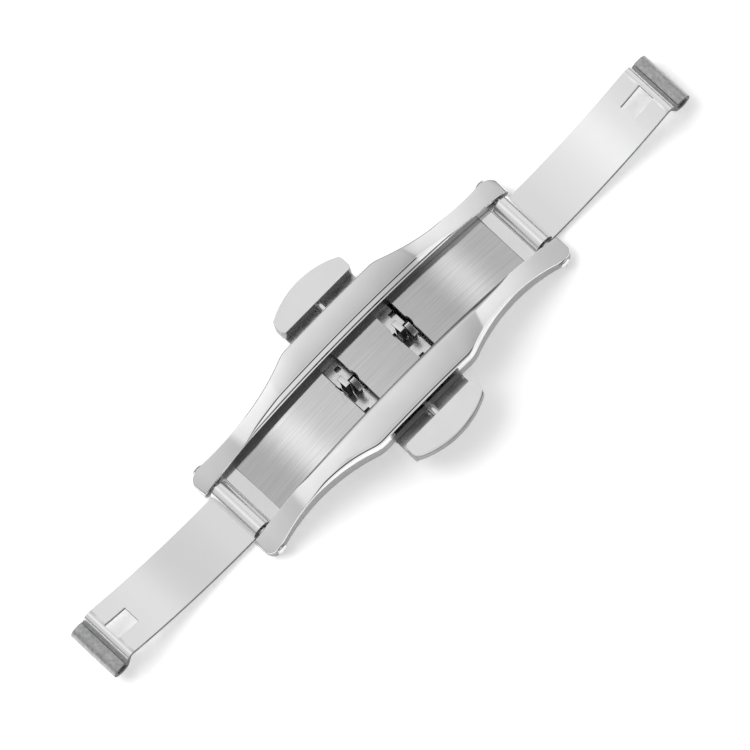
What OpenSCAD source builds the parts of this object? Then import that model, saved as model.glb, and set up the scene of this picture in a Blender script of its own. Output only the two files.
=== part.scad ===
// Butterfly clasp for a watch strap: two folding blades on a curved base, held shut
// by four hooks on two sprung push-button slides.
// X runs along the strap, Y across it and Z up, away from the wrist.
// The clasp is drawn open, lying wrist side down with its rail ends on Z = 0.

/* [Rails] */
// Distance between the two hinge pins
hinge_span = 42.6; // [41:0.1:44]
// Height of the hinge pins above the table
pin_h = 1.3; // [1.25:0.05:1.5]
// Height of the rails at the middle, on their inner edge
rail_h = 7.3; // [7.1:0.1:7.8]
// Width over both rails at the middle
rails_w = 15.1; // [14.6:0.1:15.6]
// Width over both rails at the waist near each hinge
waist_w = 11.4; // [11.2:0.1:12]
// Width over both rails at the hinge pins
rail_end_w = 12.3; // [12:0.1:12.8]
// Radius of the waist in plan
waist_r = 24; // [22:0.5:26]
// Radius of the shoulder in plan
shoulder_r = 4; // [3:0.5:5]
// Distance from the middle to the narrowest point of the waist
waist_x = 16.2; // [15.5:0.1:16.8]
// Radius of the middle facet seen from the side
rail_mid_r = 66; // [60:1:80]
// Height of the rail's top over the hinge pin's axis
pin_cover = 1.16; // [1.05:0.01:1.3]
// Distance from the middle to the crease between the facets
crease_x = 10.5; // [9:0.1:11.5]
// Outward slope of the rail's top, in degrees
rail_slope = 6; // [3:0.5:8]
// Height of the leaning bevels on both sides of the rail, at the middle
bevel_h = 1.35; // [1.1:0.05:1.6]
// Slope of those bevels, in degrees
bevel_slope = 75; // [70:1:80]
// Distance from the middle to where the bevels run out
bevel_x = 16; // [14:0.5:17]
// Radius of the rounded rail end seen from the side
rail_end_round = 1.15; // [1.1:0.01:1.2]
// Distance by which the rail end's centre lies past the hinge pin
end_shift = 0.4; // [0.2:0.05:0.5]
// Radius of the rail's end corners in plan
rail_corner_r = 1.1; // [0.6:0.1:1.3]
// Half length of the deep block under the middle of a rail
block_l = 6.4; // [5.8:0.1:7]
// Step from the rail's outer wall in to the block
block_step = 0.2; // [0.1:0.05:0.4]

/* [Deck and tray] */
// Width of the channel between the rails
channel_w = 7.25; // [6.95:0.05:7.4]
// Height of the deck at the middle
deck_h = 4.75; // [4.6:0.05:5]
// Radius of the deck seen from the side
deck_r = 63; // [60:1:70]
// Thickness of the deck plates
deck_t = 0.6; // [0.4:0.05:0.7]
// Distance from the middle to the middle of each latch slot
slot_x = 4.11; // [4:0.01:4.3]
// Width of each latch slot
slot_w = 2.23; // [2.1:0.01:2.4]
// Radius of the relief cut in the sides of each slot
relief_r = 1.3; // [1.2:0.05:1.4]
// Distance of that relief from the centre line
relief_y = 0.6; // [0.2:0.1:1]
// Width of each end bar along the strap
bar_w = 1.55; // [1.4:0.05:1.7]
// Height by which the bar stands over the deck
bar_rise = 0.1; // [0:0.05:0.2]
// Height of the tray's underside at the middle
tray_h = 1.75; // [1.6:0.05:1.9]
// Radius of the tray seen from the side
tray_r = 132; // [125:1:150]
// Thickness of the tray's floor
tray_t = 0.5; // [0.4:0.05:0.6]
// Thickness of the tray's side walls
tray_wall = 1; // [0.7:0.05:1.1]

/* [Blades] */
// Width of each blade
blade_w = 6.5; // [6.2:0.05:6.6]
// Thickness of the blade's sheet
blade_t = 0.6; // [0.5:0.05:0.7]
// Outer diameter of the knuckle
knuckle_d = 2.3; // [2.2:0.05:2.4]
// Diameter of the hinge pin
pin_d = 1.1; // [1:0.05:1.2]
// Diameter of the pin's rounded head
head_d = 1.4; // [1.3:0.05:1.5]
// Height of the pin's head
head_h = 0.25; // [0.15:0.05:0.3]
// Radius of the curved part of the blade
blade_r = 54; // [50:1:60]
// Bend between the flat foot and the curved part, in degrees
foot_bend = 1.9; // [0:0.1:4]
// Length of the flat foot from the pin
foot_l = 3.4; // [3:0.1:4]
// Distance by which the tube's axis stops short of the middle, measured along the open blade
tube_short = 0.35; // [0.3:0.01:0.4]
// Height of the tube's axis above the hinge pin
tube_rise = 0.5; // [0.3:0.05:0.7]
// Outer diameter of the spring bar tube
tube_d = 2.2; // [2.1:0.05:2.2]
// Bore of the spring bar tube
tube_bore = 1.3; // [1.2:0.05:1.4]
// Inner radius of the bend down to the tube
neck_r = 0.35; // [0.3:0.05:0.5]
// Lean of the short leg between that bend and the tube, in degrees
neck_lean = 20; // [5:1:25]
// Direction of the tube's seam from its axis, in degrees
seam_angle = 122; // [110:1:130]
// Seam left where the rolled tube closes
seam_w = 0.08; // [0.05:0.01:0.12]
// Length of the window for the hooks
window_l = 2.95; // [2.8:0.05:3.2]
// Width of the window for the hooks
window_w = 2.1; // [2:0.05:2.3]
// Length by which the blade's curve takes the window past the slot
window_ease = 0.36; // [0.3:0.02:0.42]

/* [Latch] */
// Length of each button along the strap
button_l = 10.2; // [9.8:0.1:10.2]
// Rounding of the button's corners beside the rail
button_in_r = 0.5; // [0.3:0.1:0.8]
// Rounding of the button's corners beside its bowed side
button_out_r = 1.1; // [0.8:0.1:1.4]
// Distance from the centre line to the button's inner face
button_y = 8.9; // [8.7:0.05:9.2]
// Distance from the centre line to the top of the button's bowed side
button_out = 12.1; // [11.8:0.1:12.5]
// Distance from the centre line to the ends of the bowed side
button_side = 10.75; // [10.4:0.05:11]
// Height of the button's top
button_h = 5.37; // [5.2:0.05:5.6]
// Edge break along the top of the button's bowed side
button_edge = 0.18; // [0.1:0.02:0.25]
// Undercut below the button's bowed side
button_under = 0.5; // [0.3:0.05:0.7]
// Travel of each button
travel = 0.5; // [0.4:0.05:0.6]
// Length of each slide plate along the strap
slide_l = 9.9; // [9.4:0.1:10]
// Height of the slide plate's underside
slide_h = 2.36; // [2.35:0.01:2.45]
// Thickness of the slide plate
slide_t = 0.6; // [0.5:0.05:0.7]
// Diameter of the guide stem
stem_d = 0.8; // [0.7:0.05:0.9]
// Height of the guide stem's axis
stem_h = 4.2; // [4.1:0.05:4.3]
// Depth of the button's foot over the end of the slide plate
button_foot = 0.4; // [0.3:0.05:0.6]
// Length of the stem held in the button
stem_grip = 1; // [0.8:0.1:1.4]
// Width of each hook along the strap
hook_w = 0.64; // [0.5:0.02:0.7]
// Height of the hooks' tips
hook_h = 6.1; // [6.1:0.05:6.3]
// Slope of the hooks' noses, in degrees
hook_slope = 17; // [10:1:25]
// Overlap of each hook over the window's edge
hook_bite = 0.3; // [0.2:0.05:0.35]
// Depth of a hook's post across the strap
post_w = 0.95; // [0.8:0.05:1.1]
// Thickness of the hook's nose at its tip
nose_t = 0.16; // [0.1:0.02:0.25]
// Length along the strap of the hole in the slide beside each hook
lance_w = 0.64; // [0.5:0.02:0.7]
// Length across the strap of that hole
lance_l = 0.56; // [0.4:0.02:0.7]
// Distance from the slot's middle to that hole
lance_x = 0.18; // [0.1:0.02:0.3]
// Distance from the centre line to that hole
lance_y = 2.48; // [2.3:0.02:2.7]
// Width of the raised spring block on each slide
spring_block_w = 4.6; // [4.2:0.1:4.8]
// Distance from the centre line to the spring block's face
spring_block_y = 1.5; // [1.4:0.05:1.7]
// Outer diameter of a return spring
spring_d = 1.2; // [1:0.05:1.25]
// Wire diameter of a return spring
wire_d = 0.2; // [0.16:0.02:0.22]
// Number of curls in a return spring
spring_turns = 4.5; // [4:0.5:4.5]
// Diameter of the spigots inside the springs
spigot_d = 0.56; // [0.4:0.02:0.6]
// Length of those spigots
spigot_l = 0.35; // [0.2:0.05:0.5]
// Distance of each spring from the middle
spring_x = 1.45; // [1.4:0.05:1.6]
// Diameter of the stop pin that keeps each slide in
stop_d = 0.8; // [0.7:0.05:0.9]
// Distance from the centre line to each stop pin
stop_y = 2.5; // [2.4:0.05:2.6]

/* [Clearances] */
// Running clearance on radius in the hinges and guides
run_gap = 0.03; // [0.02:0.005:0.04]
// Clearance around the slide plates
slide_gap = 0.06; // [0.04:0.01:0.08]
// Gap between the end bar and the blade's knuckle
bar_gap = 0.13; // [0.1:0.01:0.3]
// Gap between the window's edge and a hook's post
post_gap = 0.2; // [0.15:0.01:0.25]
// Side gap between the two hooks in one slot
hook_gap = 0.1; // [0.06:0.02:0.14]

/* [Hidden] */
$fn = 96;

polished = "gainsboro";
brushed = "silver";
blasted = "darkgray";
steel = "lightgray";

pin_x = hinge_span / 2;
knuckle_r = knuckle_d / 2;
rail_x = pin_x + end_shift;
rail_end_x = rail_x + rail_end_round;
rail_in = channel_w / 2;
rail_out = rails_w / 2;
deck_under = deck_h - deck_t;
deck_under_r = deck_r - deck_t;
bar_x = pin_x - knuckle_r - bar_gap;
bar_in = bar_x - bar_w;
slot_in = slot_x - slot_w / 2;
slot_out = slot_x + slot_w / 2;
tray_out = rail_in + tray_wall;
block_out = rail_out - block_step;
facet_y = rail_in + bevel_h / tan(bevel_slope);
foot_z = blade_t - knuckle_r;
slide_top = slide_h + slide_t;
button_half = button_l / 2;
slide_half = slide_l / 2;
seat_y = button_side - button_foot;
stem_in = tray_out + travel + slide_gap;
window_half = window_w / 2;
window_x = pin_x - slot_x + window_ease;
post_out = window_half - post_gap;
nose_y = window_half + hook_bite;
post_in = post_out - post_w;
tube_c = [pin_x - tube_short, tube_rise];
tube_r = tube_d / 2;
spring_z = (slide_h + deck_under) / 2;

// How far a cutting shape runs past what it cuts, the overlap of two faces that meet smoothly,
// the gap left under a face that is only touched, and a length past the whole clasp
over = 0.5;
blend = 0.004;
touch = 0.01;
tall = 2 * rail_h;
far = 2 * rail_end_x;

// The rail's outer facets run from the crease to the metal over the hinge pin
crease_z = rail_h - rail_mid_r + sqrt(pow(rail_mid_r, 2) - pow(crease_x, 2));
cover_z = pin_h + pin_cover;
crease_sq = pow(crease_x, 2) + pow(crease_z, 2);
cover_sq = pow(pin_x, 2) + pow(cover_z, 2);
end_centre_z = (crease_sq - cover_sq) / (crease_z - cover_z) / 2;
rail_end_r = norm([crease_x, crease_z - end_centre_z]);

// The bevels meet the rail's top edge at bevel_x
function circle_r(x0, z0, x1, z1) = (pow(x1, 2) - pow(x0, 2) + pow(z1 - z0, 2)) / (z0 - z1) / 2;
bevel_top = rail_h - bevel_h;
bevel_end_z = end_centre_z + sqrt(pow(rail_end_r, 2) - pow(bevel_x, 2));
bevel_r = circle_r(0, bevel_top, bevel_x, bevel_end_z);

// A solid that stands on the outline given in X and Z, between two distances along Y
module along_y(y0, y1) {
    translate([0, y1, 0]) rotate([90, 0, 0]) linear_extrude(y1 - y0) children();
}

// A long round bar or cone along Y, centred under the clasp, with its top at z
module arch(r, z, y0, y1, slope = 0, y_ref = 0) {
    fall = tan(slope);
    translate([0, y0, z - r]) rotate([-90, 0, 0])
        cylinder(h = y1 - y0, r1 = r - (y0 - y_ref) * fall, r2 = r - (y1 - y_ref) * fall, $fn = 720);
}

module round_y(x, z, r, y0, y1) {
    translate([x, y0, z]) rotate([-90, 0, 0]) cylinder(h = y1 - y0, r = r);
}

module both_ends() {
    children();
    mirror([1, 0, 0]) children();
}

// What has to come off the square corner at p, whose sides run towards the signs sx and sy
module corner_off(p, r, sx, sy) {
    translate(p) scale([sx, sy]) difference() {
        translate([-over, -over]) square(r + over);
        translate([r, r]) circle(r);
    }
}

waist_cy = waist_w / 2 + waist_r;
shoulder_cy = rail_out - shoulder_r;
shoulder_cx = waist_x - sqrt(pow(waist_r + shoulder_r, 2) - pow(waist_cy - shoulder_cy, 2));
shoulder_dir = [waist_x - shoulder_cx, waist_cy - shoulder_cy] / (waist_r + shoulder_r);

// Half outline of a rail seen from above, from the middle to the right end
module rail_half_plan() {
    difference() {
        translate([-over, rail_in]) square([rail_end_x + over, rail_out - rail_in]);
        translate([waist_x, waist_cy]) circle(waist_r, $fn = 240);
        translate([waist_x, rail_end_w / 2]) square([far, rails_w]);
        difference() {
            polygon([
                [shoulder_cx, shoulder_cy],
                [shoulder_cx, shoulder_cy + 2 * shoulder_r],
                [shoulder_cx, shoulder_cy] + shoulder_dir * 2 * shoulder_r
            ]);
            translate([shoulder_cx, shoulder_cy]) circle(shoulder_r);
        }
        corner_off([rail_end_x, rail_end_w / 2], rail_corner_r, -1, -1);
        corner_off([rail_end_x, rail_in], rail_corner_r / 3, -1, 1);
    }
}

module rail_plan() {
    rail_half_plan();
    mirror([1, 0]) rail_half_plan();
}

// The round facets of the rail's top, which fall outwards, and the steep bevels on both sides
module rail_crown() {
    intersection() {
        arch(rail_mid_r, rail_h, 0, rails_w, rail_slope, facet_y);
        arch(rail_end_r, end_centre_z + rail_end_r, 0, rails_w, rail_slope, facet_y);
        arch(bevel_r, bevel_top, 0, rails_w, -bevel_slope, rail_in);
        arch(bevel_r, bevel_top, 0, rails_w, bevel_slope, rail_out);
    }
}

module rail_body() {
    intersection() {
        linear_extrude(rail_h + over) rail_plan();
        rail_crown();
        union() {
            difference() {
                translate([-rail_x, rail_in - over, 0]) cube([2 * rail_x, rails_w, rail_h + over]);
                arch(deck_under_r, deck_under, 0, rails_w + over);
            }
            both_ends() round_y(rail_x, rail_end_round, rail_end_round, rail_in - over, rails_w);
        }
    }
}

module rail_block() {
    difference() {
        translate([-block_l, tray_out, tray_h])
            cube([2 * block_l, block_out - tray_out, deck_under + deck_t / 2 - tray_h]);
        translate([-slide_half - slide_gap, 0, slide_h - slide_gap])
            cube([slide_l + 2 * slide_gap, rails_w, slide_t + 2 * slide_gap]);
    }
}

module rail() {
    difference() {
        union() {
            rail_body();
            rail_block();
        }
        both_ends() round_y(pin_x, pin_h, pin_d / 2, 0, rails_w);
        round_y(0, stem_h, stem_d / 2 + run_gap, stem_in - travel - run_gap, rails_w);
    }
}

module rail_back() {
    color(polished) rail();
}

module rail_front() {
    color(polished) mirror([0, 1, 0]) rail();
}

// A piece of the curved deck between two distances along the strap
module deck_piece(x0, x1) {
    difference() {
        intersection() {
            arch(deck_r, deck_h, -rail_in, rail_in);
            translate([x0, -rail_in, 0]) cube([x1 - x0, channel_w, deck_h + over]);
        }
        arch(deck_under_r, deck_under, -rails_w, rails_w);
        for (x = [-slot_x, slot_x]) translate([x, relief_y, 0]) cylinder(h = tall, r = relief_r);
    }
}

module deck_left() {
    color(brushed) deck_piece(-bar_in, -slot_out);
}

module deck_middle() {
    color(brushed) deck_piece(-slot_in, slot_in);
}

module deck_right() {
    color(brushed) deck_piece(slot_out, bar_in);
}

// A polished cross bar beside the hinge
module end_bar() {
    difference() {
        intersection() {
            arch(deck_r, deck_h + bar_rise, -rail_in, rail_in);
            translate([bar_in, -rail_in, 0]) cube([bar_w, channel_w, deck_h]);
        }
        arch(tray_r, tray_h + tray_t, -rails_w, rails_w);
    }
}

module end_bar_right() {
    color(polished) end_bar();
}

module end_bar_left() {
    color(polished) mirror([1, 0, 0]) end_bar();
}

// The wrist side: a shallow curved tray whose walls carry the rails
module tray() {
    color(polished) difference() {
        intersection() {
            arch(deck_under_r, deck_under, -tray_out, tray_out);
            translate([-bar_x, -tray_out, 0]) cube([2 * bar_x, 2 * tray_out, deck_h]);
        }
        arch(tray_r, tray_h, -rails_w, rails_w);
        intersection() {
            translate([-bar_x - over, -rail_in, 0]) cube([2 * (bar_x + over), channel_w, deck_h]);
            difference() {
                translate([-pin_x, -rails_w, 0]) cube([hinge_span, 2 * rails_w, deck_h]);
                arch(tray_r, tray_h + tray_t, -rails_w - over, rails_w + over);
            }
        }
        translate([-slide_half - slide_gap, -rails_w, slide_h - slide_gap])
            cube([slide_l + 2 * slide_gap, 2 * rails_w, slide_t + 2 * slide_gap]);
        for (y = [-stop_y, stop_y]) translate([0, y, 0]) cylinder(h = slide_h, d = stop_d);
    }
}

// A hinge pin with a rounded head on each side
module hinge_pin() {
    half = rail_end_w / 2;
    cap_r = (pow(head_d / 2, 2) + pow(head_h, 2)) / (2 * head_h);
    round_y(0, pin_h, pin_d / 2, -half, half);
    for (s = [-1, 1]) translate([0, s * half, pin_h]) rotate([-90 * s, 0, 0]) intersection() {
        translate([0, 0, head_h - cap_r]) sphere(cap_r);
        cylinder(h = head_h, d = head_d);
    }
}

module hinge_pin_left() {
    color(steel) translate([-pin_x, 0, 0]) hinge_pin();
}

module hinge_pin_right() {
    color(steel) translate([pin_x, 0, 0]) hinge_pin();
}

// Centre of the blade's curve, from the hinge pin
curve_c = [foot_l - blade_r * sin(foot_bend), foot_z + blade_r * cos(foot_bend)];
leg_out = [cos(neck_lean), sin(neck_lean)];
leg_up = [-sin(neck_lean), cos(neck_lean)];
neck_span = blade_r + blade_t + neck_r;
neck_turn = neck_lean - asin((tube_r + neck_r + (curve_c - tube_c) * leg_out) / neck_span);
neck_c = curve_c + neck_span * [sin(neck_turn), -cos(neck_turn)];
neck_up = [-sin(neck_turn), cos(neck_turn)];

module curve_strip() {
    difference() {
        intersection() {
            translate(curve_c) circle(blade_r + blade_t, $fn = 720);
            polygon([
                curve_c,
                curve_c + 2 * blade_r * [sin(foot_bend - 1), -cos(foot_bend - 1)],
                curve_c + 2 * blade_r * [sin(neck_turn + 1.6), -cos(neck_turn + 1.6)]
            ]);
        }
        translate(curve_c) circle(blade_r, $fn = 720);
        translate([0, -2 * knuckle_r]) square([foot_l + over, knuckle_r]);
    }
}

// The leg that takes the sheet down from its curve to the tube
module neck_leg() {
    inner = neck_c + (neck_r + blend) * leg_out;
    foot_of_leg = tube_c - (tube_r - blend) * leg_out;
    polygon([
        inner + (neck_r + blade_t) * leg_up,
        inner + (neck_r + blade_t) * leg_up + blade_t * leg_out,
        foot_of_leg + blade_t * leg_out,
        foot_of_leg
    ]);
}

module neck_fill() {
    fill = neck_r + blade_t / 3;
    difference() {
        translate(neck_c) polygon([[0, 0], fill * neck_up, fill * (neck_up + leg_out), fill * leg_out]);
        translate(neck_c) circle(neck_r + blend);
    }
}

module neck_corner() {
    clear = 2 * (neck_r + blade_t);
    difference() {
        translate(neck_c) polygon([[0, 0], clear * neck_up, clear * (neck_up + leg_out), clear * leg_out]);
        translate(neck_c) circle(neck_r + blade_t - blend);
    }
}

// A blade lying open, with its hinge pin at the origin and its free end towards +X
module blade() {
    half = blade_w / 2;
    out = half + over;
    translate([pin_x, 0, pin_h]) difference() {
        union() {
            along_y(-half, half) circle(knuckle_r);
            along_y(-half, half) translate([0, -knuckle_r]) square([foot_l, blade_t]);
            along_y(-half, half) curve_strip();
            along_y(-half, half) neck_leg();
            along_y(-half, half) neck_fill();
            along_y(-half, half) translate(tube_c) circle(tube_r);
        }
        along_y(-out, out) neck_corner();
        along_y(-out, out) circle(pin_d / 2 + run_gap);
        along_y(-out, out) translate(tube_c) circle(tube_bore / 2);
        along_y(-out, out) translate(tube_c) rotate(seam_angle) translate([0, -seam_w / 2])
            square([tube_r + seam_w, seam_w]);
        translate([window_x - window_l / 2, -window_half, -over]) cube([window_l, window_w, rail_h]);
    }
}

module blade_right() {
    color(polished) blade();
}

module blade_left() {
    color(polished) mirror([1, 0, 0]) blade();
}

// One hook: a post in the slot with a nose that bites over the window's edge
module hook(x) {
    nose_z = hook_h - nose_t - (nose_y - post_in) * tan(hook_slope);
    rotate([90, 0, 90]) translate([0, 0, x - hook_w / 2]) linear_extrude(hook_w) polygon([
        [post_in, slide_h],
        [post_out, slide_h],
        [post_out, nose_z],
        [nose_y, nose_z],
        [nose_y, nose_z + nose_t],
        [post_in + nose_t, hook_h],
        [post_in, hook_h]
    ]);
}

// The slide that the back button pushes; its hooks bite towards the back
module slide() {
    root_w = hook_w + hook_gap / 2;
    edge_y = 2 * travel - post_in + slide_gap;
    stop_r = stop_d / 2 + run_gap;
    block_w = spring_block_w;
    block_t = stop_y - stop_r - spring_block_y - run_gap;
    difference() {
        union() {
            translate([-slide_half, post_in, slide_h]) cube([slide_l, seat_y - post_in, slide_t]);
            translate([-block_w / 2, spring_block_y, slide_h])
                cube([block_w, block_t, deck_under - slide_h - 2 * slide_gap]);
        }
        translate([-block_w / 2 - over, -rails_w, 0])
            cube([block_w + 2 * over, rails_w + spring_block_y, tall]);
        for (x = [-slot_x, slot_x]) {
            translate([x - hook_gap / 2, -rails_w, 0]) cube([slot_w, rails_w + edge_y, tall]);
            translate([x - slot_w, -rails_w, 0])
                cube([slot_w - hook_gap / 2 - root_w, rails_w + edge_y, tall]);
            translate([x + lance_x, lance_y, 0]) cube([lance_w, lance_l, tall]);
        }
        translate([0, stop_y, 0]) cylinder(h = tall, r = stop_r);
        translate([-stop_r, stop_y, 0]) cube([2 * stop_r, travel, tall]);
        translate([0, stop_y + travel, 0]) cylinder(h = tall, r = stop_r);
    }
    for (x = [-slot_x, slot_x]) hook(x - hook_gap / 2 - hook_w / 2);
    for (x = [-spring_x, spring_x])
        round_y(x, spring_z, spigot_d / 2, spring_block_y - spigot_l, spring_block_y + block_t / 2);
}

module slide_back() {
    color(steel) slide();
}

module slide_front() {
    color(steel) rotate([0, 0, 180]) slide();
}

// Centre and radius of the bow, and centre of the circle that rounds its corner
bow_rise = button_out - button_side;
bow_r = (pow(button_half, 2) + pow(bow_rise, 2)) / (2 * bow_rise);
bow_c = [0, button_out - bow_r];
round_x = button_half - button_out_r;
round_c = bow_c + [round_x, sqrt(pow(bow_r - button_out_r, 2) - pow(round_x, 2))];
round_dir = (round_c - bow_c) / (bow_r - button_out_r);

// What has to come off the corner between the bow and the button's right side
module bow_corner() {
    r = button_out_r + blend;
    difference() {
        polygon([round_c, round_c + [2 * r, 0], round_c + [2 * r, 2 * r], round_c + 2 * r * round_dir]);
        translate(round_c) circle(r);
    }
}

// Outline of a button seen from above, square where the bow will cut it
module button_plan() {
    difference() {
        translate([-button_half, button_y]) square([button_l, button_out + over - button_y]);
        both_ends() corner_off([button_half, button_y], button_in_r, -1, 1);
        both_ends() bow_corner();
    }
}

// The bowed side, turned about the centre of the bow
module button_bow() {
    waist_z = (button_h + slide_top) / 2;
    translate(bow_c) rotate_extrude($fn = 180) polygon([
        [0, slide_h],
        [bow_r - button_under, slide_h],
        [bow_r, waist_z],
        [bow_r, button_h - button_edge],
        [bow_r - button_edge, button_h],
        [0, button_h]
    ]);
}

module button() {
    difference() {
        intersection() {
            linear_extrude(button_h + over) button_plan();
            button_bow();
        }
        translate([-button_half - over, 0, slide_h - over])
            cube([button_l + 2 * over, seat_y, slide_t + over]);
        round_y(0, stem_h, stem_d / 2, 0, button_y + stem_grip);
    }
}

module button_back() {
    color(polished) button();
}

module button_front() {
    color(polished) rotate([0, 0, 180]) button();
}

module stem() {
    round_y(0, stem_h, stem_d / 2, stem_in, button_y + stem_grip);
}

module stem_back() {
    color(steel) stem();
}

module stem_front() {
    color(steel) mirror([0, 1, 0]) stem();
}

// A coil spring along Y between the two spring blocks
coil_r = (spring_d - wire_d) / 2;
coil_len = 2 * spring_block_y - wire_d;
ring_n = 8;
wire_n = 6;
coil_steps = floor(spring_turns * ring_n);
function coil_at(i) = [
    coil_r * cos(360 * i / ring_n),
    -coil_len / 2 + coil_len * i / coil_steps,
    coil_r * sin(360 * i / ring_n)
];
function coil_ring(i) = [
    for (j = [0 : wire_n - 1])
        let (out = [cos(360 * i / ring_n), 0, sin(360 * i / ring_n)], a = 360 * j / wire_n)
        coil_at(i) + wire_d / 2 * (cos(a) * out + sin(a) * [0, 1, 0])
];
coil_points = [for (i = [0 : coil_steps]) each coil_ring(i)];
coil_faces = concat(
    [[for (j = [0 : wire_n - 1]) j]],
    [
        for (i = [0 : coil_steps - 1], j = [0 : wire_n - 1])
            let (a = i * wire_n + j, b = i * wire_n + (j + 1) % wire_n)
            each [[a, a + wire_n, b + wire_n], [a, b + wire_n, b]]
    ],
    [[for (j = [wire_n - 1 : -1 : 0]) coil_steps * wire_n + j]]
);
coil_gap = min([
    for (i = [0 : coil_steps - ring_n], k = [ring_n - 2 : ring_n + 2])
        if (i + k <= coil_steps) norm(coil_at(i + k) - coil_at(i)) - wire_d
]);
echo(coil_gap = coil_gap);

module spring(x) {
    translate([x, 0, spring_z]) polyhedron(coil_points, coil_faces, convexity = 6);
}

module spring_left() {
    color(steel) spring(-spring_x);
}

module spring_right() {
    color(steel) spring(spring_x);
}

// A stop pin from the tray's floor up to the deck
module stop_pin(y) {
    difference() {
        translate([0, y, 0]) cylinder(h = deck_under - touch, d = stop_d);
        arch(tray_r, tray_h, -rails_w, rails_w);
    }
}

module stop_pin_back() {
    color(steel) stop_pin(stop_y);
}

module stop_pin_front() {
    color(steel) stop_pin(-stop_y);
}

rail_front();
rail_back();
deck_left();
deck_middle();
deck_right();
end_bar_left();
end_bar_right();
tray();
hinge_pin_left();
hinge_pin_right();
blade_left();
blade_right();
slide_front();
slide_back();
button_front();
button_back();
stem_front();
stem_back();
spring_left();
spring_right();
stop_pin_front();
stop_pin_back();
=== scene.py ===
# %% [markdown]
# # A butterfly clasp in polished steel
# The clasp was built as exact solids first. This script dresses those solids: it rounds
# their edges, gives each piece its finish, and sets up a bright product photograph.
# Everything is in the frame of the solids: +X along the strap, +Y across it and +Z up, with
# the clasp lying open on the table at Z = 0. Blender counts in metres, the lesson in
# millimetres.

import math

import bpy
from mathutils import Matrix, Vector


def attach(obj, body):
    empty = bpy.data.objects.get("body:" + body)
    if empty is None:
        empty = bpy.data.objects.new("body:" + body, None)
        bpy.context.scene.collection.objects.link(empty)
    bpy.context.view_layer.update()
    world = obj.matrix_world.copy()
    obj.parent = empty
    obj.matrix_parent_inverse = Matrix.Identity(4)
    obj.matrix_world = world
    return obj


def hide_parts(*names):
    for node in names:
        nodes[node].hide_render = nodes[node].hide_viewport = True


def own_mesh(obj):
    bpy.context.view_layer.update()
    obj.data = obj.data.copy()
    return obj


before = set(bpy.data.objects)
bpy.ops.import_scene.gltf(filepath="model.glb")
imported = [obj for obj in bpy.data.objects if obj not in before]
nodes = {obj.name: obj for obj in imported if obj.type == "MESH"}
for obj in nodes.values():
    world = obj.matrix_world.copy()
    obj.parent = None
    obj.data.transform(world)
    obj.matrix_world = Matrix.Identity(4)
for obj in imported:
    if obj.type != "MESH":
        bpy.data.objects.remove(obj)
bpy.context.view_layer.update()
MM = 0.001
print("solids:", len(nodes))

# %% [markdown]
# ## Small helpers
# Operators act on whatever is selected, and the loaded solids start out selected. So every
# step begins by selecting nothing and then picking one object. In edit mode the parts of a
# mesh are selected by a rule, never by their number.


# %% Selecting, applying a modifier and smoothing
def pick(obj):
    if bpy.context.object and bpy.context.object.mode != "OBJECT":
        bpy.ops.object.mode_set(mode="OBJECT")
    bpy.ops.object.select_all(action="DESELECT")
    bpy.context.view_layer.objects.active = obj
    obj.select_set(True)


def apply_modifier(obj, kind, **settings):
    pick(obj)
    mod = obj.modifiers.new(kind.lower(), kind)
    for key, value in settings.items():
        setattr(mod, key, value)
    bpy.ops.object.modifier_apply(modifier=mod.name)


def smooth(obj, degrees):
    pick(obj)
    bpy.ops.object.shade_smooth_by_angle(angle=math.radians(degrees))
    apply_modifier(obj, "WEIGHTED_NORMAL", keep_sharp=True, weight=60)


print("selected at the start:", len(bpy.context.selected_objects))

# %% [markdown]
# ## Effects shared by the finishes
# All of the clasp is stainless steel, and what tells its pieces apart is how they were
# finished: polished on a wheel, brushed along the strap, blasted, or left as stamped. Each
# finish is a very fine relief with its own direction. Two node groups make these patterns,
# and each material places them with its own numbers. They read Object coordinates, so the
# scratches stay on the steel from every side and at every pose.

# %% Grain: noise stretched along one direction, put out as a value from Low to High
FLOAT, VECTOR = "NodeSocketFloat", "NodeSocketVector"
NOISE_LOW, NOISE_HIGH = 0.3, 0.7  # noise seldom leaves these values


def new_group(name, inputs, output):
    group = bpy.data.node_groups.new(name, "ShaderNodeTree")
    for label, kind in inputs:
        group.interface.new_socket(name=label, in_out="INPUT", socket_type=kind)
    group.interface.new_socket(name=output, in_out="OUTPUT", socket_type=FLOAT)
    return group, group.nodes.new("NodeGroupInput"), group.nodes.new("NodeGroupOutput")


grain, g_in, g_out = new_group(
    "grain",
    [("Stretch", VECTOR), ("Detail", FLOAT), ("Low", FLOAT), ("High", FLOAT)],
    "Value",
)
place = grain.nodes.new("ShaderNodeTexCoord")
stretch = grain.nodes.new("ShaderNodeVectorMath")
stretch.operation = "MULTIPLY"
noise = grain.nodes.new("ShaderNodeTexNoise")
noise.inputs["Scale"].default_value = 1.0
noise.inputs["Roughness"].default_value = 0.55
levels = grain.nodes.new("ShaderNodeMapRange")
levels.inputs["From Min"].default_value = NOISE_LOW
levels.inputs["From Max"].default_value = NOISE_HIGH
grain.links.new(place.outputs["Object"], stretch.inputs[0])
grain.links.new(g_in.outputs["Stretch"], stretch.inputs[1])
grain.links.new(stretch.outputs[0], noise.inputs["Vector"])
grain.links.new(g_in.outputs["Detail"], noise.inputs["Detail"])
grain.links.new(noise.outputs["Fac"], levels.inputs["Value"])
grain.links.new(g_in.outputs["Low"], levels.inputs["To Min"])
grain.links.new(g_in.outputs["High"], levels.inputs["To Max"])
grain.links.new(levels.outputs["Result"], g_out.inputs["Value"])
print("group:", grain.name)

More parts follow.
